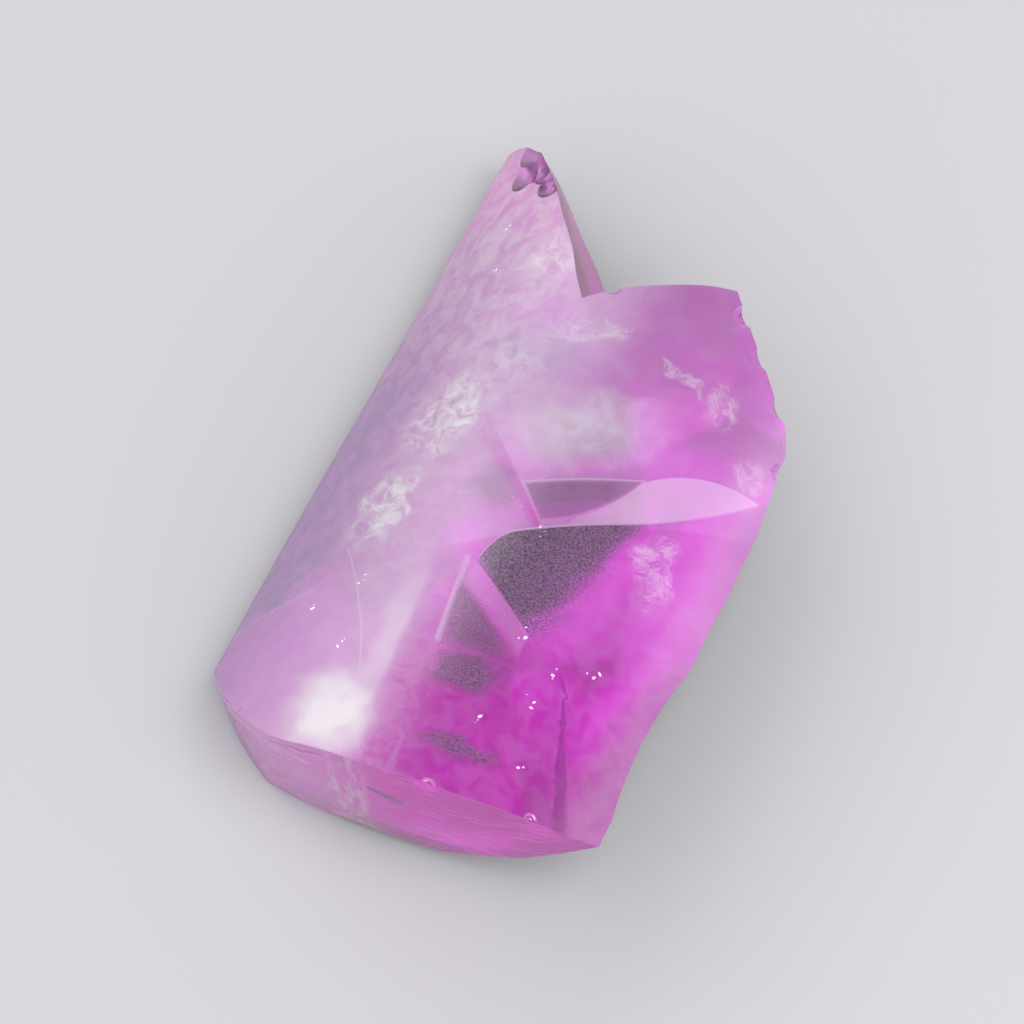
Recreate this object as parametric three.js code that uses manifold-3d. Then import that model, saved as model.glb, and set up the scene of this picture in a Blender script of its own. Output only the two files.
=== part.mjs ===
// A rough zircon crystal: one piece split from a grown rod of crystal, in millimetres, +Z up.
// The rod's frosted skin is the rounded top and the left side. Every other face is a break:
// shell-shaped fractures with rings round the point where each was struck.
// The rod's axis runs along Y. The stone lies on its split face, with its butt end at -Y
// and its long tongue at +Y. Its origin is under the middle of its box.
import * as THREE from "three";
import { mergeVertices } from "three/addons/utils/BufferGeometryUtils.js";
import Module from "manifold-3d";

const wasm = await Module();
wasm.setup();

// Driving dimensions.
const SKIN_RADIUS = 20.8; // the rod that the stone was split from
const STONE_HEIGHT = 17; // split face to the crown of the skin
const STONE_LENGTH = 59; // butt end to the tip of the tongue
const RIGHT_EDGE = 13.6; // how far right of the rod's axis the skin goes

// How finely the faces are cut.
const SKIN_SIDES = 112;
const SKIN_BANDS = 10;
const FACE_SPOKES = 48;
const CHIP_SIDES = 11;

const RADIANS = Math.PI / 180;
const AXIS_HEIGHT = STONE_HEIGHT - SKIN_RADIUS;
const BUTT = -0.38 * STONE_LENGTH; // where the butt end crosses the rod's axis
const TIP = BUTT + STONE_LENGTH;

// Height of the skin at a place across the rod.
const skinHeight = (x) => AXIS_HEIGHT + Math.sqrt(SKIN_RADIUS ** 2 - x ** 2);

// A closed three.js geometry as a solid that can be cut and joined.
function solidOf(geometry) {
  const bare = geometry.index ? geometry.toNonIndexed() : geometry.clone();
  bare.deleteAttribute("normal");
  bare.deleteAttribute("uv");
  const merged = mergeVertices(bare, 1e-4);
  const vertProperties = merged.attributes.position.array;
  const triVerts = new Uint32Array(merged.index.array);
  const solid = new wasm.Manifold(new wasm.Mesh({ numProp: 3, vertProperties, triVerts }));
  if (solid.volume() > 0) return solid;
  for (let i = 0; i < triVerts.length; i += 3) {
    const first = triVerts[i];
    triVerts[i] = triVerts[i + 1];
    triVerts[i + 1] = first;
  }
  return new wasm.Manifold(new wasm.Mesh({ numProp: 3, vertProperties, triVerts }));
}

// The rod, swelling and narrowing very slightly as it grew.
function grownRod() {
  const rod = new THREE.CylinderGeometry(
    SKIN_RADIUS, SKIN_RADIUS, STONE_LENGTH * 1.3, SKIN_SIDES, SKIN_BANDS,
  );
  const place = rod.attributes.position;
  for (let i = 0; i < place.count; i++) {
    const swell = 1 + 0.003 * Math.sin(place.getY(i) * 0.16 + 0.8);
    place.setX(i, place.getX(i) * swell);
    place.setZ(i, place.getZ(i) * swell);
  }
  rod.translate(0, (BUTT + TIP) / 2, AXIS_HEIGHT);
  return solidOf(rod);
}

// What broke away at one fracture, as a solid. The broken face passes through `at` and faces
// away from the stone: `turn` is the way it faces in plan, in degrees from +X, and `lean` is
// how far it looks up or, below zero, down. `across` and `upright` are its bend radii, positive
// where the stone bulges and negative where it is hollow. Rings `ring` apart and `relief` deep
// run round the struck point, which is `strike` across and up from `at`. A hollow scar is `sink`
// deep in the face that it is struck on, and its `reach` is past its rim.
function brokenAway(face) {
  const { at, turn, lean, across = Infinity, upright = Infinity, sink = 0 } = face;
  const { strike = [0, 0], ring = 3.5, relief = 0.1, reach = 60, depth = 40 } = face;
  const profile = [new THREE.Vector2(0, relief)];
  for (let i = 1; (i + 1) * ring < reach; i++) {
    profile.push(new THREE.Vector2(i * ring, i % 2 ? -relief : relief));
  }
  profile.push(new THREE.Vector2(reach, 0));
  profile.push(new THREE.Vector2(reach, -depth));
  profile.push(new THREE.Vector2(0, -depth));
  const shell = new THREE.LatheGeometry(profile, FACE_SPOKES);
  const place = shell.attributes.position;
  for (let i = 0; i < place.count; i++) {
    const u = place.getX(i) + strike[0];
    const v = place.getZ(i) + strike[1];
    const bend = u ** 2 / (2 * across) + v ** 2 / (2 * upright) + sink;
    const broken = place.getY(i) > -depth;
    place.setXYZ(i, u, broken ? place.getY(i) + bend : -depth, v);
  }
  const away = new THREE.Vector3(
    Math.cos(lean * RADIANS) * Math.cos(turn * RADIANS),
    Math.cos(lean * RADIANS) * Math.sin(turn * RADIANS),
    Math.sin(lean * RADIANS),
  );
  const right = new THREE.Vector3(-Math.sin(turn * RADIANS), Math.cos(turn * RADIANS), 0);
  const inward = away.clone().negate();
  const up = new THREE.Vector3().crossVectors(right, inward);
  shell.applyMatrix4(new THREE.Matrix4().makeBasis(right, inward, up).setPosition(...at));
  return solidOf(shell);
}

// A small chip knocked off the skin or its edge at a place across and along the rod.
function chip(x, y, radius, sink) {
  const lift = (radius - sink) / SKIN_RADIUS;
  const ball = new THREE.SphereGeometry(radius, CHIP_SIDES, CHIP_SIDES - 3);
  ball.rotateX(x + y);
  ball.translate(x * (1 + lift), y, skinHeight(x) + (skinHeight(x) - AXIS_HEIGHT) * lift);
  return solidOf(ball);
}

// The flat split face that the stone rests on.
function belowTheSplit() {
  const block = new THREE.BoxGeometry(4 * SKIN_RADIUS, 2 * STONE_LENGTH, SKIN_RADIUS * 2);
  block.translate(0, 0, -SKIN_RADIUS);
  return solidOf(block);
}

// The long right-hand break, which undercuts the skin from end to end.
const flank = {
  at: [RIGHT_EDGE - 6.2, -2, skinHeight(RIGHT_EDGE) - 5.9],
  turn: 0, lean: -46, upright: -90, strike: [-22, 3], ring: 4,
};
// A facet beyond it, turned a little towards the tongue.
const lens = { at: [6.4, 9, 5], turn: 12, lean: -47, strike: [14, 2], relief: 0.06, ring: 4 };
// The lower right facet, between the long break and the split face.
const keel = { at: [5.5, -11.1, 4.1], turn: -8, lean: -56.5, strike: [-16, 6], relief: 0.08 };
// The slanting break at the upper right corner, and the elbow where it runs into the flank.
const shoulder = { at: [7.5, 21.9, 15.6], turn: 51, lean: -24, across: -60, strike: [-6, 0] };
const elbow = { at: [RIGHT_EDGE - 1.3, 17.2, 12.9], turn: 34, lean: -30, relief: 0.06 };
// The butt end, which bulges, struck just under the skin.
const butt = { at: [-3, BUTT, 13], turn: -88, lean: -4, across: 60, upright: 60, strike: [-3, 3] };
// The left corner of the butt end.
const corner = { at: [-16.8, -17.6, 5], turn: -130, lean: -6, across: 22, strike: [5, 6], ring: 2.5 };
// The break across the top, which leaves the tongue standing beside it.
const crest = { at: [-0.9, 22.1, STONE_HEIGHT], turn: 117, lean: -37, upright: -80, strike: [-8, 0] };
// The tongue's side of the notch.
const notch = { at: [-11.5, 28.4, 13.5], turn: 42, lean: 16, across: 85, strike: [12, 0] };
// The underside of the tongue, which thins it towards the tip, and its blunt end.
const tongue = { at: [-14, 19, 0], turn: 90, lean: -77, relief: 0.08, strike: [0, 16] };
const tongueEnd = { at: [-18, TIP - 0.8, 5], turn: 80, lean: 10, ring: 1.5, relief: 0.03, reach: 20 };
// Hollow scars: the heel at the lower right, and three shallow ones in the split face.
const heel = {
  at: [9.2, -10.5, 7.8], turn: 0, lean: -46,
  across: -30, upright: -26, sink: 1, reach: 12, ring: 2,
};
const splitFace = { turn: 60, lean: -90, ring: 1.5 };
const scars = [
  { ...splitFace, at: [-1, 7.2, 0], across: -14, upright: -14, sink: 0.4, reach: 6 },
  { ...splitFace, at: [-2.2, -5.5, 0], across: -14, upright: -18, sink: 0.3, reach: 6 },
  { ...splitFace, at: [-11, 3, 0], across: -90, upright: -50, sink: 0.5, reach: 14, ring: 2.5 },
];

// Chips knocked off since: two at the tip and a flake between them, some bites along the
// upper right edge, a pit at the top edge, and bruises along the edge of the butt end.
const chips = [
  chip(-15.5, 31.2, 1.9, 0.7),
  chip(-12.7, 29.6, 1.4, 0.6),
  chip(-15.9, 34.5, 2.4, 1),
  chip(6.3, 23, 1, 0.5),
  chip(8.9, 20.9, 1.2, 0.5),
  chip(11.6, 18.4, 1.1, 0.6),
  chip(13.2, 13.8, 1, 0.3),
  chip(-3.4, 20.7, 0.7, 0.35),
  chip(-14.2, -20.5, 1.1, 0.4),
  chip(2, -22.3, 1.3, 0.5),
  chip(9.2, -20.8, 1.2, 0.5),
];

let stone = grownRod().subtract(belowTheSplit());
for (const face of [flank, lens, keel, shoulder, elbow, butt, corner, tongue, tongueEnd, heel]) {
  stone = stone.subtract(brokenAway(face));
}
stone = stone.subtract(brokenAway(crest).intersect(brokenAway(notch)));
for (const scar of scars) stone = stone.subtract(brokenAway(scar));
for (const bite of chips) stone = stone.subtract(bite);

const cut = stone.getMesh();
const surface = new THREE.BufferGeometry();
surface.setAttribute("position", new THREE.BufferAttribute(cut.vertProperties, 3));
surface.setIndex(new THREE.BufferAttribute(cut.triVerts, 1));
surface.computeBoundingBox();
const middle = surface.boundingBox.getCenter(new THREE.Vector3());
surface.translate(-middle.x, -middle.y, -surface.boundingBox.min.z);
surface.computeVertexNormals();

const pinkCrystal = new THREE.MeshStandardMaterial({ color: 0xc868bc, roughness: 0.3, metalness: 0 });
const crystal = new THREE.Mesh(surface, pinkCrystal);
crystal.name = "crystal";

const part = new THREE.Group();
part.add(crystal);
export default part;
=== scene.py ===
import math
import bpy
from mathutils import Matrix, Vector


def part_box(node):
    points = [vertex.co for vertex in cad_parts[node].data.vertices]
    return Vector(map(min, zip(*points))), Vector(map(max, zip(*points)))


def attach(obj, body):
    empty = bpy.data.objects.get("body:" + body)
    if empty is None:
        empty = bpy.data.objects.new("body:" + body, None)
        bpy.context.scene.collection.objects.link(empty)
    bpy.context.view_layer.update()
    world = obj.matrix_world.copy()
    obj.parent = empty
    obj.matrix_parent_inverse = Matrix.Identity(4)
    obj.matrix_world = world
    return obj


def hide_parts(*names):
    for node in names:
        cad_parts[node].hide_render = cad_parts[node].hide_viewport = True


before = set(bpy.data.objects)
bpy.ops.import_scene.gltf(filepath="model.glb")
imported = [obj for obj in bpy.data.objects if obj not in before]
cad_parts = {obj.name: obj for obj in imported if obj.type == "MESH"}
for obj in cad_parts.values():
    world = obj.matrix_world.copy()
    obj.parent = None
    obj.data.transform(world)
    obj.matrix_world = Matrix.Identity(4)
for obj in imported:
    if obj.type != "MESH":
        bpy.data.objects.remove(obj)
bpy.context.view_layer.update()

# The viewpoint: from in front, a little to the right and well above, with a long lens, so that the
# stone's frosted top, its butt end and its undercut right flank all show.
stone_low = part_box("crystal")[0]
MM = 0.001
view_turn = math.radians(25.2)
view_height = math.radians(60)
view_distance = 307.2 * MM
aim = Vector((stone_low.x + 18.5 * MM, stone_low.y + 22.65 * MM, 16.9 * MM))
lens = bpy.data.cameras.new("camera")
lens.lens = 150
lens.sensor_width = 36
lens.clip_start = 0.01
camera = bpy.data.objects.new("camera", lens)
bpy.context.scene.collection.objects.link(camera)
towards = Vector((
    math.sin(view_turn) * math.cos(view_height),
    -math.cos(view_turn) * math.cos(view_height),
    math.sin(view_height),
))
camera.location = aim + towards * view_distance
camera.rotation_euler = (math.pi / 2 - view_height, 0, view_turn)
bpy.context.scene.camera = camera

# The grown rod: the stone was split from a rod of crystal with a slightly swelling, frosted skin.
# It lies along Y, with its axis below the split face, and it is longer than the stone.
# Sizes are in millimetres: across from the axis, along from where the middle of the butt end is cut.
skin_radius = 20.8
stone_height = 17
stone_length = 59
right_edge = 13.6
axis_height = stone_height - skin_radius
butt_place = -0.38 * stone_length
tip_place = butt_place + stone_length
axis_from_left = 20.5
middle_from_butt = 22.65

frosted = bpy.data.materials.new("frosted skin")
glassy = bpy.data.materials.new("clear crystal")
bruised = bpy.data.materials.new("white bruise")


def new_tree(name, inputs):
    tree = bpy.data.node_groups.new(name, "GeometryNodeTree")
    for label, kind, value in inputs:
        socket = tree.interface.new_socket(name=label, in_out="INPUT", socket_type="NodeSocket" + kind)
        if value is not None:
            socket.default_value = value
    tree.interface.new_socket(name="Geometry", in_out="OUTPUT", socket_type="NodeSocketGeometry")
    return tree


class Wiring:
    """Adds nodes to a tree and joins them, so that a tree reads like its formula."""

    def __init__(self, tree):
        self.tree = tree

    def add(self, kind, links=(), **settings):
        node = self.tree.nodes.new(kind)
        for name, value in settings.items():
            setattr(node, name, value)
        for socket, value in dict(links).items():
            if isinstance(value, bpy.types.NodeSocket):
                self.tree.links.new(value, node.inputs[socket])
            else:
                node.inputs[socket].default_value = value
        return node

    def sum(self, operation, *values):
        node = self.add("ShaderNodeMath", enumerate(values), operation=operation)
        return node.outputs[0]


def run_tree(tree, values, name, places=()):
    carrier_mesh = bpy.data.meshes.new(name)
    carrier_mesh.from_pydata(list(places), [], [])
    carrier = bpy.data.objects.new(name, carrier_mesh)
    bpy.context.scene.collection.objects.link(carrier)
    modifier = carrier.modifiers.new(name, "NODES")
    modifier.node_group = tree
    sockets = {i.name: i.identifier for i in tree.interface.items_tree if i.in_out == "INPUT"}
    for label, value in values.items():
        modifier[sockets[label]] = value
    carrier.update_tag()
    bpy.context.view_layer.update()
    evaluated = carrier.evaluated_get(bpy.context.evaluated_depsgraph_get())
    mesh = bpy.data.meshes.new_from_object(evaluated)
    bpy.data.objects.remove(carrier)
    made = bpy.data.objects.new(name, mesh)
    bpy.context.scene.collection.objects.link(made)
    return made


rod_tree = new_tree("grown rod", [
    ("Radius", "Float", skin_radius),
    ("Length", "Float", stone_length * 1.3),
    ("Sides", "Int", 240),
    ("Bands", "Int", 100),
    ("Swell", "Float", 0.003),
    ("Finish", "Material", None),
])
w = Wiring(rod_tree)
given = w.add("NodeGroupInput").outputs
rod = w.add("GeometryNodeMeshCylinder", {
    "Vertices": given["Sides"], "Side Segments": given["Bands"], "Radius": given["Radius"],
    "Depth": given["Length"],
})
laid = w.add("GeometryNodeTransform", {
    "Geometry": rod.outputs["Mesh"], "Rotation": (math.pi / 2, 0, 0),
})
spot = w.add("ShaderNodeSeparateXYZ", {0: w.add("GeometryNodeInputPosition").outputs[0]}).outputs
wave = w.sum("MULTIPLY", w.sum("SINE", w.sum("MULTIPLY_ADD", spot[1], -0.16, 0.8)), given["Swell"])
offset = w.add("ShaderNodeCombineXYZ", {
    0: w.sum("MULTIPLY", spot[0], wave), 2: w.sum("MULTIPLY", spot[2], wave),
})
moved = w.add("GeometryNodeSetPosition", {
    "Geometry": laid.outputs[0], "Offset": offset.outputs[0],
})
real = w.add("GeometryNodeRealizeInstances", {0: moved.outputs[0]})
painted = w.add("GeometryNodeSetMaterial", {0: real.outputs[0], "Material": given["Finish"]})
w.add("NodeGroupOutput", {0: painted.outputs[0]})


def grown_rod(name, radius, skin_finish):
    rod = run_tree(rod_tree, {"Radius": radius, "Finish": skin_finish}, name)
    rod.data.transform(Matrix.Translation((0, (butt_place + tip_place) / 2, axis_height)))
    return rod


stone = grown_rod("stone", skin_radius - 0.01, frosted)

# The breaks: each one is a shell-shaped fracture, with rings round the point where it was struck and
# fine hackles running out from it. What broke away is made as a solid, and cut from the rod.
break_tree = new_tree("broken away", [
    ("Reach", "Float", 60.0),
    ("Depth", "Float", 40.0),
    ("Spokes", "Int", 120),
    ("Rounds", "Int", 110),
    ("Ring", "Float", 3.5),
    ("Relief", "Float", 0.05),
    ("Hackle", "Float", 0.05),
    ("Unevenness", "Float", 0.2),
    ("Bend across", "Float", 0.0),
    ("Bend upright", "Float", 0.0),
    ("Strike across", "Float", 0.0),
    ("Strike up", "Float", 0.0),
    ("Sink", "Float", 0.0),
    ("Outer side", "Float", 0.0),
    ("Seed", "Float", 0.0),
    ("Finish", "Material", None),
])
w = Wiring(break_tree)
given = w.add("NodeGroupInput").outputs
drum = w.add("GeometryNodeMeshCylinder", {
    "Vertices": given["Spokes"], "Side Segments": 1, "Fill Segments": given["Rounds"],
    "Radius": given["Reach"], "Depth": given["Depth"],
})
spot = w.add("ShaderNodeSeparateXYZ", {0: w.add("GeometryNodeInputPosition").outputs[0]}).outputs
out = w.sum("SQRT", w.sum("ADD", w.sum("MULTIPLY", spot[0], spot[0]), w.sum("MULTIPLY", spot[1], spot[1])))
across = w.sum("ADD", spot[0], given["Strike across"])
upright = w.sum("ADD", spot[1], given["Strike up"])
bend = w.sum(
    "ADD",
    w.sum("MULTIPLY", w.sum("MULTIPLY", across, across), given["Bend across"]),
    w.sum("MULTIPLY", w.sum("MULTIPLY", upright, upright), given["Bend upright"]),
)
wander = w.add("ShaderNodeTexNoise", {
    "Vector": w.add("GeometryNodeInputPosition").outputs[0], "W": given["Seed"], "Scale": 0.09,
    "Detail": 2.0, "Roughness": 0.35,
}, noise_dimensions="4D")
uneven = w.sum("MULTIPLY", w.sum("SUBTRACT", wander.outputs["Fac"], 0.5), given["Unevenness"])
ring = w.sum("COSINE", w.sum("DIVIDE", w.sum("MULTIPLY", out, math.pi), given["Ring"]))
faded = w.sum("MULTIPLY_ADD", wander.outputs["Fac"], 2.4, -0.2)
ring = w.sum("MULTIPLY", w.sum("MULTIPLY", ring, given["Relief"]), faded)
heading = w.add("ShaderNodeCombineXYZ", {
    0: w.sum("DIVIDE", spot[0], w.sum("MAXIMUM", out, 0.01)),
    1: w.sum("DIVIDE", spot[1], w.sum("MAXIMUM", out, 0.01)),
    2: w.sum("MULTIPLY", out, 0.012),
})
rays = w.add("ShaderNodeTexNoise", {
    "Vector": heading.outputs[0], "W": given["Seed"], "Scale": 9.0, "Detail": 2.0,
}, noise_dimensions="4D")
hackle = w.sum("MULTIPLY", w.sum("SUBTRACT", rays.outputs["Fac"], 0.5), given["Hackle"])
hackle = w.sum("MULTIPLY", hackle, w.sum("MINIMUM", w.sum("MULTIPLY", out, 0.08), 1.0))
height = w.sum("ADD", w.sum("ADD", bend, uneven), w.sum("ADD", ring, hackle))
height = w.sum("ADD", height, given["Sink"])
face = w.sum("MAXIMUM", w.sum("GREATER_THAN", spot[2], 0.0), given["Outer side"])
offset = w.add("ShaderNodeCombineXYZ", {
    0: given["Strike across"], 1: given["Strike up"],
    2: w.sum("MULTIPLY_ADD", height, face, w.sum("MULTIPLY", given["Depth"], -0.5)),
})
moved = w.add("GeometryNodeSetPosition", {
    "Geometry": drum.outputs["Mesh"], "Offset": offset.outputs[0],
})
real = w.add("GeometryNodeRealizeInstances", {0: moved.outputs[0]})
painted = w.add("GeometryNodeSetMaterial", {0: real.outputs[0], "Material": given["Finish"]})
w.add("NodeGroupOutput", {0: painted.outputs[0]})


def skin_height(x):
    return axis_height + math.sqrt(skin_radius**2 - x**2)


def broken_away(name, at, turn, lean, across=None, upright=None, strike=(0, 0), finish=glassy, **sizes):
    values = {label.replace("_", " ").capitalize(): value for label, value in sizes.items()}
    values["Bend across"] = 0.5 / across if across else 0.0
    values["Bend upright"] = 0.5 / upright if upright else 0.0
    values["Strike across"], values["Strike up"] = map(float, strike)
    values["Seed"] = float(sum(map(ord, name)))
    values["Finish"] = finish
    solid = run_tree(break_tree, values, name)
    turn, lean = math.radians(turn), math.radians(lean)
    away = Vector((math.cos(lean) * math.cos(turn), math.cos(lean) * math.sin(turn), math.sin(lean)))
    right = Vector((-math.sin(turn), math.cos(turn), 0))
    up = right.cross(-away)
    # The face's own axes: X across it, Y up it, Z into the stone.
    pose = Matrix((right, up, -away)).transposed().to_4x4()
    pose.translation = Vector(at)
    solid.data.transform(pose)
    if pose.determinant() < 0:
        solid.data.flip_normals()
    return solid


def cut(piece, waste, operation="DIFFERENCE"):
    knife = piece.modifiers.new("cut", "BOOLEAN")
    knife.operation = operation
    knife.solver = "MANIFOLD"
    knife.material_mode = "TRANSFER"
    knife.object = waste
    evaluated = piece.evaluated_get(bpy.context.evaluated_depsgraph_get())
    mesh = bpy.data.meshes.new_from_object(evaluated)
    piece.modifiers.remove(knife)
    piece.data = mesh
    bpy.data.objects.remove(waste)


breaks = [
    broken_away("flank", (right_edge - 6.2, -2, skin_height(right_edge) - 5.9), 0, -46,
                upright=-90, strike=(-22, 3), ring=4.0),
    broken_away("lens", (6.4, 9, 5), 12, -47, strike=(14, 2), relief=0.03, ring=4.0),
    broken_away("keel", (5.5, -11.1, 4.1), -8, -56.5, strike=(-16, 6), relief=0.04),
    broken_away("shoulder", (7.5, 21.9, 15.6), 51, -24, across=-60, strike=(-6, 0),
                finish=frosted),
    broken_away("elbow", (right_edge - 1.3, 17.2, 12.9), 34, -30, relief=0.03, finish=frosted),
    broken_away("butt", (-3, butt_place, 13), -88, -4, across=60, upright=60, strike=(-3, 3),
                finish=frosted),
    broken_away("corner", (-16.8, -17.6, 5), -130, -6, across=22, strike=(5, 6), ring=2.5,
                finish=frosted),
    broken_away("tongue", (-14, 19, 0), 90, -77, relief=0.04, strike=(0, 16)),
    broken_away("tongue end", (-18, tip_place - 0.8, 5), 80, 10, ring=1.5, relief=0.03, reach=20.0,
                sink=0.05),
    broken_away("split", (0, 0, 0), 0, -90, relief=0.05, sink=0.08),
    broken_away("heel", (9.2, -10.5, 7.8), 0, -46, across=-30, upright=-26, sink=1.0, reach=12.0,
                ring=2.0, relief=0.015, rounds=40),
]
crest = broken_away("crest", (-0.9, 22.1, stone_height), 117, -37, upright=-80, strike=(-8, 0),
                    finish=frosted)
notch = broken_away("notch", (-11.5, 28.4, 13.5), 42, 16, across=85, strike=(12, 0))
cut(crest, notch, "INTERSECT")
for waste in breaks + [crest]:
    cut(stone, waste)

# Chips knocked off since: small hollow scars at the tip, along the upper right edge, at the top edge
# and along the edge of the butt end, each with a ring or two of its own.


def chip(x, y, radius, sink, tip=0, swing=0, finish=glassy):
    """A scar in the skin `x` across and `y` along, tipped up or down and swung round from it."""
    level = skin_height(x)
    lean = math.degrees(math.asin((level - axis_height) / skin_radius)) + tip
    rim = math.sqrt(2 * radius * sink)
    return broken_away(
        f"chip {x} {y}", (x, y, level), (180 if x < 0 else 0) + swing, lean, across=-radius,
        upright=-radius, sink=sink, reach=2.2 * rim, depth=6.0, ring=rim * 0.28, relief=0.02 * radius,
        hackle=0.05 * radius, unevenness=0.08 * radius, spokes=40, rounds=18, finish=finish,
    )


chips = [
    chip(-15.5, 31.2, 1.9, 0.7),
    chip(-12.7, 29.6, 1.4, 0.6),
    chip(-15.9, 34.5, 2.4, 1.0),
    chip(-14.6, 31.6, 1.6, 0.7),
    chip(-13.6, 31.2, 1.5, 0.7),
    chip(6.3, 23, 1.0, 0.5, finish=frosted),
    chip(8.9, 20.9, 1.2, 0.5, finish=frosted),
    chip(11.6, 18.4, 1.1, 0.6, finish=frosted),
    chip(13.2, 13.8, 1.0, 0.3, finish=frosted),
    chip(-3.4, 20.7, 0.7, 0.35, finish=frosted),
    chip(-14.2, -20.5, 1.1, 0.25, finish=frosted),
    chip(2, -22.3, 1.3, 0.2, finish=frosted),
    chip(9.2, -20.8, 1.2, 0.2, finish=frosted),
]
for waste in chips:
    cut(stone, waste)

# The underside: the split stepped from one level to another as it ran, which left flat windows at
# different heights with slanting risers between them, and a deeper toe at the foot of the butt end.
# Each is a hollow cut from below.
riser_steps = 7
below_split = -1.0


def curve_through(points, rounds=6):
    """A closed outline through the points, round except where a point is given twice."""
    count = len(points)
    outline = []
    for i in range(count):
        before, start, end, after = (Vector(points[(i + k) % count]) for k in (-1, 0, 1, 2))
        if start == end:
            continue
        for step in range(rounds):
            t = step / rounds
            outline.append(0.5 * (
                2 * start + (end - before) * t
                + (2 * before - 5 * start + 4 * end - after) * t**2
                + (3 * start - before - 3 * end + after) * t**3
            ))
    return outline


def pillar(name, rim, levels):
    """A closed solid on a plan outline, which spreads out by a given amount at each level."""
    outline = curve_through(rim)
    count = len(outline)
    twice_area = sum(
        a.x * b.y - b.x * a.y for a, b in zip(outline, outline[1:] + outline[:1])
    )
    if twice_area < 0:
        outline.reverse()
    outwards = []
    for i in range(count):
        along = (outline[(i + 1) % count] - outline[i - 1]).normalized()
        outwards.append(Vector((along.y, -along.x)))
    corners = []
    for level, spread in levels:
        corners += [(p.x + n.x * spread, p.y + n.y * spread, level) for p, n in zip(outline, outwards)]
    faces = [tuple(range(count)), tuple(reversed(range(len(corners) - count, len(corners))))]
    for k in range(len(levels) - 1):
        for i in range(count):
            j = (i + 1) % count
            faces.append((k * count + i, (k + 1) * count + i, (k + 1) * count + j, k * count + j))
    mesh = bpy.data.meshes.new(name)
    mesh.from_pydata(corners, [], faces)
    mesh.materials.append(glassy)
    solid = bpy.data.objects.new(name, mesh)
    bpy.context.scene.collection.objects.link(solid)
    return solid


def hollow(name, rim, roof, run, turn=0, lean=-90, **face):
    levels = [(20.0, 0.0), (roof, 0.0)]
    for step in range(1, riser_steps + 1):
        t = step / riser_steps
        levels.append((roof * (1 - t) ** 1.6, run * t))
    levels.append((below_split, run * 1.1))
    solid = pillar(name, rim, levels)
    middle = sum(map(Vector, rim), Vector((0, 0))) / len(rim)
    sizes = {"relief": 0.02, "ring": 1.5, "hackle": 0.03, "unevenness": 0.05, "depth": 10.0, **face}
    at = sizes.pop("at", (middle.x, middle.y, roof))
    cut(solid, broken_away(name, at, turn, lean, **sizes), "INTERSECT")
    return solid


def slant(name, line, width, turn, lean=-53):
    """A narrow slanting face along a line in the underside."""
    rim = [(x - 0.4 * width, y) for x, y in line] + [(x + 0.6 * width, y) for x, y in reversed(line)]
    (x0, y0), (x1, y1) = line[0], line[-1]
    height = 0.4 * width / math.tan(math.radians(-lean)) + 0.05
    middle = ((x0 + x1) / 2, (y0 + y1) / 2, height)
    return hollow(name, rim, 3.0, 0.2, turn, lean, at=middle, unevenness=0.02)


meeting = (-3.4, 0)
windows = [
    hollow("middle window", [
        meeting, (-3.1, 1.4), (-2.3, 2.8), (-0.9, 4.5), (2.2, 7.5), (6.4, 9), (7.5, 9.5),
        (7.5, 9.5), (7.5, -3.5), (7.5, -3.5), (4.2, -5.4), (2.7, -6.7), (2.7, -6.7), (0.1, -4.9),
        (-1.8, -2.6), meeting,
    ], 1.8, 3.6, at=(-1.6, 1, 1.8), upright=13.0, turn=-19),
    hollow("upper window", [
        (-3.4, 6.8), (-3.3, 6.9), (-2.5, 7.7), (-0.7, 9.1), (1.2, 10.9), (4.7, 13.6), (8, 13.5),
        (8, 13.5), (6, 9), (0, 4), (-1.6, 3.8), (-1.6, 3.8), (-3.4, 6.8),
    ], 0.9, 1.6),
    hollow("left window", [
        (-6.4, 2.5), (-6.6, 4.5), (-5.9, 6.6), (-4.2, 7.3), (-3.6, 6.7), (-1.9, 3.6), (-1.9, 3.6),
        (-3.4, 0.6), (-3.4, 0.6),
    ], 0.5, 1.2),
    hollow("lower window", [
        (-3.5, -0.9), (-2.2, -3.2), (-0.6, -6), (-0.6, -6), (-2.4, -5.6), (-3.6, -5.2), (-3.6, -5.2),
        (-3.5, -0.9),
    ], 0.9, 1.6),
    hollow("toe", [
        (-8, -9.5), (-3, -7.5), (4, -7.5), (7, -10), (7, -16), (4, -19.3), (-2, -19.6), (-7, -18.5),
        (-9.5, -15),
    ], 4.5, 2.0, at=(0, -19, 4.6), turn=-90, lean=-69, unevenness=0.2),
]
slants = [
    slant("upper slant", [(-6.0, 11.3), (-5.4, 10.2), (-4.5, 8.4), (-3.4, 6.6), (-1.7, 3.8)], 1.3, 33),
    slant("lower slant", [(-3.6, -0.6), (-3.9, -3.8), (-3.7, -7.2), (-3.6, -9.4)], 1.0, 6),
]
for waste in windows + slants:
    cut(stone, waste)

# The crack: a fracture that stopped inside the stone, at the lower left, where it shows as a pale fan.
# It is a thin gap that starts at the butt end.


def crack(name, at, turn, lean, reach, rim, **sizes):
    sizes = {
        "depth": 0.05, "outer_side": 1.0, "spokes": 72, "rounds": 24, "relief": 0.06, "ring": 1.2, **sizes,
    }
    gap = broken_away(name, at, turn, lean, reach=reach, **sizes)
    cut(gap, pillar(name + " rim", rim, [(25.0, 0.0), (-1.0, 0.0)]), "INTERSECT")
    return gap


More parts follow.
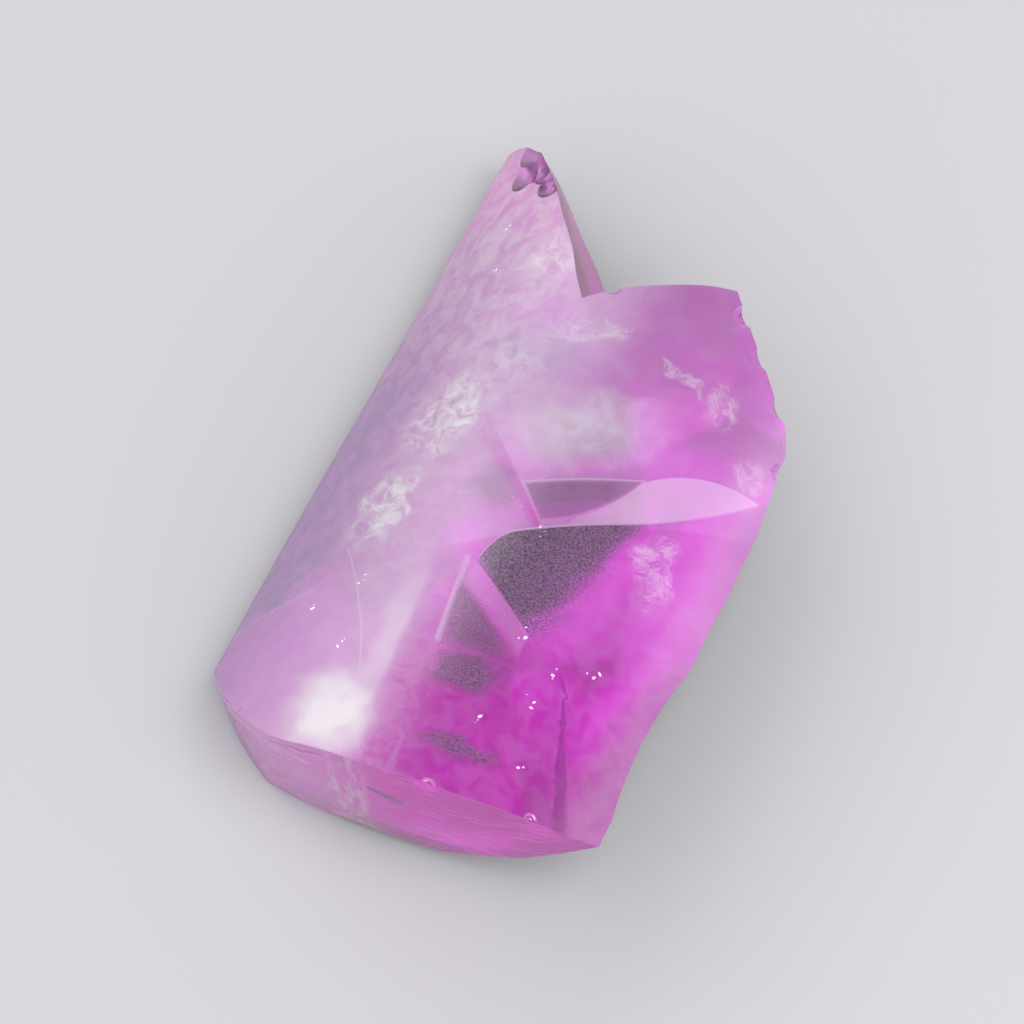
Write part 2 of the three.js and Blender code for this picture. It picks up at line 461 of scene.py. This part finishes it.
cut(stone, crack("fan", (-12.4, -14.5, 9.5), 155, 48, 13.0, upright=26, strike=(5, -3), rim=[
    (-20.5, -16), (-18.9, -9.8), (-15.4, -9.6), (-13.6, -6.8), (-13.1, -4.9), (-13.1, -4.9),
    (-11.3, -6.8), (-9.3, -10.1), (-6.2, -16.5), (-5, -23.5), (-5, -23.5), (-20.5, -23.5),
    (-20.5, -23.5), (-20.5, -16),
]))

# The bruises: small white pits where the skin was knocked, each a large one with two smaller ones
# strewn beside it. They are crushed crystal, so they are rough and opaque.
bruise_tree = new_tree("bruises", [
    ("Geometry", "Geometry", None),
    ("Size", "Float", 0.22),
    ("Strewn", "Float", 0.9),
    ("Each", "Int", 5),
    ("Seed", "Int", 3),
    ("Finish", "Material", None),
])
w = Wiring(bruise_tree)
given = w.add("NodeGroupInput").outputs
count = w.add("GeometryNodeDuplicateElements", {
    "Geometry": given["Geometry"], "Amount": given["Each"],
}, domain="POINT")
strew = w.add("FunctionNodeRandomValue", {
    0: (-1, -1, 0), 1: (1, 1, 0), "Seed": given["Seed"],
}, data_type="FLOAT_VECTOR").outputs[0]
strewn = w.add("GeometryNodeSetPosition", {
    "Geometry": count.outputs[0],
    "Offset": w.add("ShaderNodeVectorMath", {
        0: strew, "Scale": given["Strewn"],
    }, operation="SCALE").outputs[0],
})
spot = w.add("ShaderNodeSeparateXYZ", {0: w.add("GeometryNodeInputPosition").outputs[0]}).outputs
rise = w.sum("SQRT", w.sum("SUBTRACT", skin_radius**2, w.sum("MULTIPLY", spot[0], spot[0])))
skin_spot = w.add("ShaderNodeCombineXYZ", {0: spot[0], 1: spot[1], 2: w.sum("ADD", rise, axis_height)})
on_skin = w.add("GeometryNodeSetPosition", {
    "Geometry": strewn.outputs[0], "Position": skin_spot.outputs[0],
})
apart = w.add("GeometryNodeMergeByDistance", {
    "Geometry": on_skin.outputs[0], "Distance": w.sum("MULTIPLY", given["Size"], 2.8),
})
knock = w.add("GeometryNodeMeshIcoSphere", {"Radius": given["Size"], "Subdivisions": 2})
turned = w.add("FunctionNodeRandomValue", {
    0: (0, 0, 0), 1: (6.3, 6.3, 6.3), "Seed": given["Seed"],
}, data_type="FLOAT_VECTOR").outputs[0]
grown = w.add("FunctionNodeRandomValue", {
    0: (0.7, 0.25, 0.25), 1: (1.5, 0.7, 0.6), "Seed": given["Seed"],
}, data_type="FLOAT_VECTOR").outputs[0]
copies = w.add("GeometryNodeInstanceOnPoints", {
    "Points": apart.outputs[0], "Instance": knock.outputs["Mesh"], "Rotation": turned, "Scale": grown,
})
real = w.add("GeometryNodeRealizeInstances", {0: copies.outputs[0]})
painted = w.add("GeometryNodeSetMaterial", {0: real.outputs[0], "Material": given["Finish"]})
w.add("NodeGroupOutput", {0: painted.outputs[0]})

bruised.use_nodes = True
bruise_shader = bruised.node_tree.nodes["Principled BSDF"]
bruise_shader.inputs["Base Color"].default_value = (0.82, 0.68, 0.85, 1)
bruise_shader.inputs["Roughness"].default_value = 0.6
lone = [
    (-1.6, 0.6), (0.4, -0.3), (3.2, -8.8), (6.1, -10.4), (8.6, -8.9), (3, -15.8), (5.8, -13.4), (6.9, -17.9),
    (-12.7, -11.2), (-10.1, -8.7), (-13.3, 21), (-14.5, 25.5), (-9.1, -14.2), (-7.6, 27.5),
]
for size, strewn, seed in ((0.27, 0.0, 3), (0.17, 0.5, 5), (0.12, 0.9, 8)):
    flat_places = [(x, y, 0) for x, y in lone]
    cut(stone, run_tree(bruise_tree, {
        "Size": size, "Strewn": strewn, "Each": 1, "Seed": seed, "Finish": bruised,
    }, "bruises", flat_places))

stone.data.transform(
    Matrix.Translation((stone_low.x + axis_from_left * MM, stone_low.y + middle_from_butt * MM, 0))
    @ Matrix.Scale(MM, 4)
)
stone.data.set_sharp_from_angle(angle=math.radians(20))
for polygon in stone.data.polygons:
    polygon.use_smooth = True

# The finish: see-through pink crystal, deeper coloured towards the butt end and deeper magenta to the right,
# partly its own colour and partly painted shade on the side away from the light. The grown skin is frosted
# by tiny pits, thickly on the left and at the tip. The breaks are glassy or satin. What shows from inside is
# carried by the skin's colour and frost: steps, dark see-through windows painted as shade, painted
# highlights and painted internal reflections.
surface = bpy.data.node_groups.new("crystal surface", "ShaderNodeTree")
surface.interface.new_socket(name="Place", in_out="INPUT", socket_type="NodeSocketVector")
for label, kind in (("Colour", "Color"), ("Rough", "Float"), ("Haze", "Float"), ("Normal", "Vector")):
    surface.interface.new_socket(name=label, in_out="OUTPUT", socket_type="NodeSocket" + kind)
w = Wiring(surface)
centred = w.add("ShaderNodeMapping", {
    "Vector": w.add("NodeGroupInput").outputs["Place"], "Scale": (1 / MM, 1 / MM, 1 / MM),
    "Location": (
        -(stone_low.x / MM + axis_from_left), -(stone_low.y / MM + middle_from_butt), -axis_height,
    ),
}).outputs[0]
spot = w.add("ShaderNodeSeparateXYZ", {0: centred}).outputs


def ramp(value, low, high, at_low=0.0, at_high=1.0):
    return w.add("ShaderNodeMapRange", {
        0: value, 1: low, 2: high, 3: at_low, 4: at_high,
    }, interpolation_type="SMOOTHSTEP").outputs[0]


def noise(scale, detail=2.0, roughness=0.5, where=centred):
    return w.add("ShaderNodeTexNoise", {
        "Vector": where, "Scale": scale, "Detail": detail, "Roughness": roughness,
    }).outputs


def mix(amount, first, second):
    return w.add("ShaderNodeMix", {0: amount, 6: first, 7: second}, data_type="RGBA").outputs[2]


def both(*masks):
    product = masks[0]
    for mask in masks[1:]:
        product = w.sum("MULTIPLY", product, mask)
    return product


def most(*masks):
    top = masks[0]
    for mask in masks[1:]:
        top = w.sum("MAXIMUM", top, mask)
    return top


def least(*masks):
    low = masks[0]
    for mask in masks[1:]:
        low = w.sum("MINIMUM", low, mask)
    return low


radius_squared = w.sum("MULTIPLY_ADD", spot[0], spot[0], w.sum("MULTIPLY", spot[2], spot[2]))
radius = w.sum("SQRT", radius_squared)
under = w.sum("SUBTRACT", skin_radius, radius)
skin = ramp(under, 0.3, 0.15)
drift = w.add("ShaderNodeVectorMath", {
    0: noise(0.45, 1.5)["Color"], 1: (0.5, 0.5, 0.5),
}, operation="SUBTRACT").outputs[0]
drifted = w.add("ShaderNodeVectorMath", {
    0: drift, 1: (3.0, 3.0, 0), 2: centred,
}, operation="MULTIPLY_ADD").outputs[0]
# The steps run aslant across the rod: how far along that slanting line a place is, and how far above it.
step_turn = math.radians(25.2)
slant_cosine, slant_sine = math.cos(step_turn), math.sin(step_turn)
along = w.sum("MULTIPLY_ADD", spot[0], slant_cosine, w.sum("MULTIPLY", spot[1], slant_sine))
above = w.sum("MULTIPLY_ADD", spot[1], slant_cosine, w.sum("MULTIPLY", spot[0], -slant_sine))


def reach_along(place, axis, x, y):
    """How far a place is from a point, measured along an axis."""
    reach = w.add("ShaderNodeVectorMath", {0: place, 1: axis}, operation="DOT_PRODUCT").outputs["Value"]
    return w.sum("SUBTRACT", reach, axis.dot(Vector((x, y, 0))))


def patch(x, y, wide, long, turn, amount, core=0.3):
    """A soft-edged patch of the skin round a place, with an irregular outline."""
    heading = math.radians(turn)
    widthways = Vector((math.cos(heading), math.sin(heading), 0)) / wide
    lengthways = Vector((-math.sin(heading), math.cos(heading), 0)) / long
    away_squared = 0.0
    for axis in (widthways, lengthways):
        reach = reach_along(drifted, axis, x, y)
        away_squared = w.sum("MULTIPLY_ADD", reach, reach, away_squared)
    return ramp(w.sum("SQRT", away_squared), 1.0, core, 0.0, amount)


def left_of(x0, y0, x1, y1):
    """How far a place lies to the left of a line in the skin."""
    line = Vector((x1 - x0, y1 - y0, 0)).normalized()
    leftwards = Vector((-line.y, line.x, 0))
    return reach_along(centred, leftwards, x0, y0)


mottle = noise(0.8, 4.0, 0.62, drifted)["Fac"]
wisps = noise(1.1, 5.0, 0.74, drifted)["Fac"]
grain = noise(8.0, 1.0)["Fac"]


def square(value):
    return w.sum("MULTIPLY", value, value)


def over(value, limit):
    return w.sum("MAXIMUM", w.sum("SUBTRACT", value, limit), 0.0)


def less(mask, amount=1.0):
    """What a mask leaves over."""
    return w.sum("MULTIPLY_ADD", mask, -amount, 1.0)


def scaled(mask, amount):
    return w.sum("MULTIPLY", mask, amount)


# Painted shade: the see-through windows, where the frost is worn thin, are painted dark. The darkness stands
# in for the shade seen through the stone.
foot = w.sum("MULTIPLY_ADD", along, 0.12, -0.62)
foot = w.sum("MULTIPLY_ADD", square(over(along, 6.0)), 0.024, foot)
foot = w.sum("MULTIPLY_ADD", square(over(scaled(along, -1.0), 1.5)), -0.25, foot)
below_foot = w.sum("SUBTRACT", foot, above)
# On the left the foot bends down round the window, but the magenta side meets it straight.
under_plain_foot = w.sum("SUBTRACT", w.sum("MULTIPLY_ADD", along, 0.12, -0.62), above)
step_line = left_of(-3.3, -4.2, 3.3, -8.5)
from_step = scaled(step_line, -1.0)
main_window_shade = both(
    ramp(least(below_foot, step_line), -0.05, 0.1), ramp(left_of(4.0, -8.0, 6.9, 4.6), -2.0, 1.2),
)
side_line = left_of(-2.2, -12.9, -3.4, -4.2)
side_window_shade = both(
    ramp(least(from_step, scaled(side_line, -1.0), under_plain_foot), 0.0, 0.15),
    ramp(from_step, 1.4, 2.2, 0.0, 0.7), ramp(spot[1], -12.5, -10.5), ramp(spot[0], 3.4, 1.0),
)
curve = w.sum("MULTIPLY_ADD", square(w.sum("SUBTRACT", along, 0.3)), 0.066, 0.13)
upper_edge = least(
    scaled(left_of(-2.6, 2.4, 5.1, 6.4), -1.0), left_of(-2.6, 2.9, 0.5, -0.2),
    w.sum("SUBTRACT", above, curve),
)
upper_window_shade = both(ramp(upper_edge, -0.05, 0.25), ramp(along, 8.0, 5.0, 0.0, 0.6))
painted_window_shade = most(
    main_window_shade, side_window_shade, upper_window_shade,
    patch(0.9, -13.2, 3.8, 2.0, 25, 0.9), patch(2.6, -18.6, 4.2, 1.5, 8, 0.85),
    patch(-4.0, 1.8, 2.0, 2.8, 35, 0.4), both(ramp(along, 11.0, 16.0, 0.0, 0.3), ramp(below_foot, 0.0, 0.2)),
)
# The split's steps show as paler and deeper strips, with fine bright lines along their edges.
foot_line = both(
    ramp(w.sum("ABSOLUTE", w.sum("ADD", below_foot, 0.08)), 0.11, 0.03), ramp(along, -5.0, -3.5),
    ramp(along, 17.0, 9.0, 0.2, 1.0),
)
top_line = both(
    ramp(w.sum("ABSOLUTE", w.sum("ADD", upper_edge, 0.1)), 0.12, 0.03), ramp(above, 2.9, 3.2),
)
side_strip = both(
    ramp(w.sum("ABSOLUTE", side_line), 0.3, 0.2), ramp(spot[1], -12.0, -11.5), ramp(spot[1], -4.2, -4.6),
)
# Painted internal reflection: a paler, hazier band where light reflects inside the lens face.
lens_head = w.sum("MULTIPLY_ADD", square(w.sum("SUBTRACT", along, 12.5)), -0.045, 4.75)
lens_inside = least(w.sum("SUBTRACT", least(lens_head, curve), above), scaled(below_foot, -1.0))
lens_band = both(ramp(lens_inside, 0.0, 0.2), ramp(along, 0.5, 8.0, 0.2, 1.0))
step_strip = both(
    ramp(from_step, 0.0, 0.1), ramp(from_step, 1.9, 1.0), ramp(below_foot, 0.0, 0.1),
    ramp(spot[0], 3.5, 3.2),
)
# A dark crack at the lower right widens as it runs down to the butt end.
crack_start, crack_drift = -10.1, w.sum("MULTIPLY_ADD", mottle, 1.6, 6.0)
crack_path = w.sum("MULTIPLY_ADD", w.sum("SUBTRACT", spot[1], crack_start), -0.43, crack_drift)
crack_width = ramp(spot[1], crack_start, -21.0, 0.12, 0.7)
from_crack = w.sum("DIVIDE", w.sum("ABSOLUTE", w.sum("SUBTRACT", spot[0], crack_path)), crack_width)
dark_crack = both(ramp(from_crack, 1.0, 0.5), ramp(spot[1], -9.8, -10.6))
# Painted internal reflection: a deeper magenta strip with thinner frost, where light reflects inside a
# slanting face.
painted_slant_reflection = both(
    ramp(left_of(-5.6, 5.6, 0.6, -0.45), 0.05, -0.05), ramp(left_of(-5.9, 4.4, -0.4, 0.0), -0.5, 0.2),
    ramp(below_foot, 0.0, -0.1), ramp(spot[0], -8.5, -5.0),
)

# The frost is thick on the left, with whiter clouds, and thin on the right and on the fan. The paler left is
# partly frost and partly painted light on the side towards the lamp.
thick_frost_and_lit_side = both(ramp(spot[0], 2.0, -9.0, 0.18, 0.6), ramp(spot[1], -10.0, 12.0, 0.7, 1.0))
thick_frost_and_lit_side = w.sum("ADD", thick_frost_and_lit_side, both(ramp(spot[0], -5.0, -12.0), ramp(spot[1], 4.0, 20.0), 0.5))
cloud = most(
    patch(-10.4, 7.0, 3.8, 6.5, -12, 1.0), patch(-11.4, -1.6, 2.8, 5.5, -8, 1.0),
    patch(8.0, 15.5, 2.2, 2.6, 0, 0.5), patch(4.5, 16.1, 2.5, 0.8, -20, 0.6),
    patch(-9.5, 22.5, 3.8, 3.2, 30, 0.9), patch(-3.5, 16.5, 4.6, 2.2, 30, 0.55),
    patch(8.9, 1.0, 2.2, 4.6, 12, 0.5), patch(11.8, 11.5, 1.8, 3.0, 0, 0.4),
    patch(-15.0, 24.0, 1.5, 8.0, -5, 0.5), patch(-7.5, 12.5, 3.0, 2.5, 0, 0.5),
)
# Painted highlight: a white spot at the butt end of the skin, where the lamp's reflection is brightest.
painted_highlight_spot = both(patch(-7.0, -19.6, 4.6, 5.2, 20, 1.3, 0.1), ramp(mottle, 0.3, 0.6, 0.7, 1.0))
# Painted highlight: a paler, hazier, grainy band up the skin from that spot. It stands in for the lamp's
# reflection along the rod.
painted_highlight_band = both(patch(-5.6, -12.6, 2.6, 10.5, 3, 1.0, 0.0), ramp(left_of(-3.6, -20.6, -4.7, -5.9), 0.1, 1.0))
# Greyer mauve in patches and towards the far left edge, with thinner frost. At the edge it is a painted dark
# reflection of the surroundings.
mauve_and_edge_shade = most(
    patch(-6.0, 15.0, 5.5, 4.5, 30, 0.8), patch(-16.0, -6.5, 3.5, 6.0, -10, 0.9),
    ramp(spot[0], -11.5, -17.0),
)
mauve_and_edge_shade = both(mauve_and_edge_shade, ramp(mottle, 0.3, 0.6, 1.2, 0.6), ramp(spot[1], 26.0, 8.0))
fall = w.sum("SUBTRACT", -5.6, spot[1])
fan_edge = w.sum("MULTIPLY_ADD", w.sum("MULTIPLY_ADD", fall, -0.02, 0.8), fall, -12.6)
fan_right = w.sum("SUBTRACT", fan_edge, spot[0])
spread = w.sum("POWER", over(scaled(spot[0], -1.0), 12.6), 0.25)
fan_left = w.sum("SUBTRACT", w.sum("MULTIPLY_ADD", spread, -3.9, -5.6), spot[1])
fan_inside = least(fan_right, fan_left)
fan = ramp(fan_inside, 0.0, 0.1)
fan_rim = ramp(w.sum("ABSOLUTE", fan_inside), 0.1, 0.03)
veil = patch(-0.2, 8.6, 8.6, 5.0, 25, 0.9, 0.1)
mauve_and_edge_shade = both(mauve_and_edge_shade, less(fan, 0.7))
cover = both(
    most(thick_frost_and_lit_side, scaled(cloud, 0.75)), ramp(mottle, 0.35, 0.65, 0.3, 1.3), less(mauve_and_edge_shade, 0.8), less(fan, 0.3),
)
cover = most(cover, scaled(veil, 0.8), scaled(lens_band, 0.7), scaled(fan_rim, 0.8), painted_highlight_band)
cover = both(cover, less(painted_window_shade, 0.8), less(painted_slant_reflection, 0.6))
cover = both(most(cover, scaled(foot_line, 0.9), scaled(top_line, 0.9), scaled(side_strip, 0.8)), skin)
# White: the frost clouds, the painted highlight spot and the fan's rim.
white = most(both(ramp(wisps, 0.36, 0.66), cloud), painted_highlight_spot, scaled(fan_rim, 0.3))
white = both(white, skin)

# Painted shade: the deeper magenta on the right, away from the light, is partly the crystal's own colour and
# partly painted shade.
magenta_side = both(
    ramp(left_of(-3.6, -20.6, -4.7, -5.9), 1.4, -0.8), ramp(under_plain_foot, 0.0, 0.4),
)
shade = most(magenta_side, ramp(along, 3.0, 13.0, 0.05, 0.4))
shade = both(shade, less(veil, 0.8), less(lens_band, 0.75), ramp(mottle, 0.3, 0.65, 1.0, 0.9))
low_end = mix(ramp(above, -6.0, -14.0), (0.88, 0.17, 0.82, 1), (0.78, 0.03, 0.66, 1))
body = mix(shade, (0.95, 0.42, 0.98, 1), low_end)
body = mix(mauve_and_edge_shade, body, (0.62, 0.47, 0.82, 1))
body = mix(painted_slant_reflection, body, (0.9, 0.22, 0.84, 1))
colour = mix(scaled(cover, 0.6), body, (0.97, 0.78, 0.99, 1))
colour = mix(scaled(step_strip, 0.7), colour, (0.95, 0.4, 0.93, 1))
colour = mix(painted_window_shade, colour, mix(ramp(grain, 0.3, 0.7), (0.2, 0.11, 0.22, 1), (0.5, 0.36, 0.53, 1)))
veil_colour = mix(ramp(mottle, 0.4, 0.6), (0.98, 0.8, 0.93, 1), (0.86, 0.78, 1.0, 1))
colour = mix(both(veil, less(painted_window_shade), 0.5), colour, veil_colour)
colour = mix(scaled(dark_crack, 0.75), colour, (0.42, 0.04, 0.4, 1))
colour = mix(white, colour, (0.98, 0.95, 0.99, 1))
# The butt end is pale at the left and deep magenta at the right. The breaks near the tip are deep too.
broken = less(skin)
stripes = noise(1.0, 3.0, 0.6, w.add("ShaderNodeMapping", {
    "Vector": centred, "Rotation": (0, math.radians(28), 0), "Scale": (0.35, 1.0, 2.4),
}).outputs[0])["Fac"]
butt_depth = ramp(w.sum("MULTIPLY_ADD", w.sum("SUBTRACT", stripes, 0.5), 9.0, spot[0]), -8.0, 0.0)
butt_colour = mix(butt_depth, (1.0, 0.36, 0.98, 1), (0.84, 0.0, 0.68, 1))
butt_colour = mix(both(ramp(stripes, 0.5, 0.7), less(butt_depth, 0.8)), butt_colour, (0.99, 0.92, 0.99, 1))
hackles = noise(2.2, 2.0, 0.6, w.add("ShaderNodeMapping", {
    "Vector": centred, "Rotation": (0, math.radians(-12), 0), "Scale": (1.0, 1.0, 0.12),
}).outputs[0])["Fac"]
# Painted highlight: white streaks along the hackle marks below the highlight spot, where the lamp catches
# them.
from_hackle_glints = w.sum("ABSOLUTE", w.sum("ADD", spot[0], 4.6))
painted_hackle_glints = both(ramp(from_hackle_glints, 2.2, 0.8), ramp(hackles, 0.4, 0.62, 0.0, 0.7))
butt_colour = mix(painted_hackle_glints, butt_colour, (0.99, 0.95, 0.99, 1))
streak = w.add("ShaderNodeMapping", {
    "Vector": drifted, "Location": (-1.5, 0, 16.0), "Rotation": (0, math.radians(25), 0),
    "Scale": (2.2, 1000, 0.6),
}, vector_type="TEXTURE").outputs[0]
streak = w.add("ShaderNodeVectorMath", {0: streak}, operation="LENGTH").outputs["Value"]
butt_colour = mix(ramp(streak, 1.0, 0.5, 0.0, 0.85), butt_colour, (0.2, 0.06, 0.26, 1))
colour = mix(both(broken, ramp(spot[1], -16.0, -19.0)), colour, butt_colour)
colour = mix(both(broken, ramp(spot[1], 12.0, 16.0)), colour, (0.78, 0.14, 0.78, 1))
tip_colour = mix(ramp(wisps, 0.45, 0.55), (0.4, 0.06, 0.42, 1), (0.85, 0.4, 0.85, 1))
colour = mix(both(broken, ramp(spot[1], 27.0, 28.0)), colour, tip_colour)
# The skin is rougher on the left, and the satin breaks are smoother low down.
satin = both(ramp(under, 0.3, 3.0), ramp(w.sum("ADD", spot[2], axis_height), 1.0, 4.0, 0.06, 0.25))
frost = w.sum("ADD", ramp(spot[0], 4.0, -8.0, 0.16, 0.38), ramp(spot[0], -10.0, -16.0, 0.0, 0.2))
rough = w.sum("ADD", both(frost, less(painted_window_shade, 0.5), skin), w.sum("ADD", satin, 0.03))
bump = w.add("ShaderNodeBump", {
    "Strength": w.sum("MULTIPLY_ADD", painted_highlight_band, 0.12, 0.01), "Distance": 0.05 * MM, "Height": grain,
}).outputs[0]
haze = most(
    scaled(cover, 0.28), white, both(veil, less(painted_window_shade), ramp(mottle, 0.35, 0.65, 0.35, 0.75)),
    scaled(lens_band, 0.5), both(painted_highlight_band, ramp(grain, 0.3, 0.7, 0.3, 0.7)),
)
haze = both(haze, skin)
w.add("NodeGroupOutput", {0: colour, 1: rough, 2: haze, 3: bump})

for finish, transmission in ((frosted, 0.72), (glassy, 1.0)):
    finish.use_nodes = True
    finish.node_tree.nodes.clear()
    w = Wiring(finish.node_tree)
    place = w.add("ShaderNodeTexCoord").outputs["Object"]
    if finish == frosted:
        look = w.add("ShaderNodeGroup", {}, node_tree=surface)
        finish.node_tree.links.new(place, look.inputs["Place"])
        sockets = {
            "Base Color": look.outputs["Colour"], "Roughness": look.outputs["Rough"],
            "Coat Weight": look.outputs["Haze"], "Normal": look.outputs["Normal"],
            "Coat Roughness": 0.85, "Coat IOR": 3.9,
        }
    else:
        up = w.add("ShaderNodeSeparateXYZ", {0: place}).outputs[2]
        sockets = {
            "Base Color": (0.92, 0.4, 0.93, 1), "Roughness": ramp(up, 1.0 * MM, 4.0 * MM, 0.06, 0.28),
        }
    shader = w.add("ShaderNodeBsdfPrincipled", {"IOR": 1.93, "Transmission Weight": transmission, **sockets})
    inside = w.add("ShaderNodeVolumeAbsorption", {"Color": (1.0, 0.05, 0.985, 1), "Density": 120.0})
    w.add("ShaderNodeOutputMaterial", {"Surface": shader.outputs[0], "Volume": inside.outputs[0]})
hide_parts("crystal")
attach(stone, "root")

# The studio: a plain pale floor, a soft light on the left and a larger one above on the right, and a
# pale room that is dark above and a little behind the stone, and dimmer on the left.
floor_mesh = bpy.data.meshes.new("floor")
side = 3.0
corners = [(-side, -side, 0), (side, -side, 0), (side, side, 0), (-side, side, 0)]
floor_mesh.from_pydata(corners, [], [(0, 1, 2, 3)])
floor = bpy.data.objects.new("floor", floor_mesh)
bpy.context.scene.collection.objects.link(floor)
floor_finish = bpy.data.materials.new("floor")
floor_finish.use_nodes = True
floor_shader = floor_finish.node_tree.nodes["Principled BSDF"]
floor_shader.inputs["Base Color"].default_value = (0.42, 0.42, 0.43, 1)
floor_shader.inputs["Roughness"].default_value = 0.8
floor_mesh.materials.append(floor_finish)


def soft_light(name, place, wide, high, power):
    lamp = bpy.data.lights.new(name, "AREA")
    lamp.shape = "RECTANGLE"
    lamp.size = wide
    lamp.size_y = high
    lamp.energy = power
    light = bpy.data.objects.new(name, lamp)
    bpy.context.scene.collection.objects.link(light)
    light.location = place
    light.rotation_euler = Vector(place).to_track_quat("Z", "Y").to_euler()


soft_light("window", (-0.365, 0.06, 0.26), 0.35, 0.12, 0.25)
soft_light("fill", (0.22, -0.12, 0.5), 0.3, 0.3, 2.0)
room = bpy.data.worlds.new("room")
room.use_nodes = True
w = Wiring(room.node_tree)
outlook = w.add("ShaderNodeTexCoord").outputs["Generated"]


def facing(direction):
    return w.add("ShaderNodeVectorMath", {
        0: outlook, 1: Vector(direction).normalized(),
    }, operation="DOT_PRODUCT").outputs["Value"]


level = ramp(facing((0.25, 0.42, 0.87)), 0.92, 0.72, 0.1, 1.55)
level = w.sum("MULTIPLY", level, ramp(facing((-0.95, -0.2, 0.1)), 0.7, 0.97, 1.0, 0.4))
backdrop = room.node_tree.nodes["Background"]
backdrop.inputs["Color"].default_value = (0.98, 0.96, 1.0, 1)
room.node_tree.links.new(level, backdrop.inputs["Strength"])
bpy.context.scene.world = room

bpy.context.scene.view_settings.view_transform = "Standard"
bpy.context.scene.cycles.caustics_refractive = False
bpy.context.scene.cycles.caustics_reflective = False
bpy.context.scene.cycles.max_bounces = 8
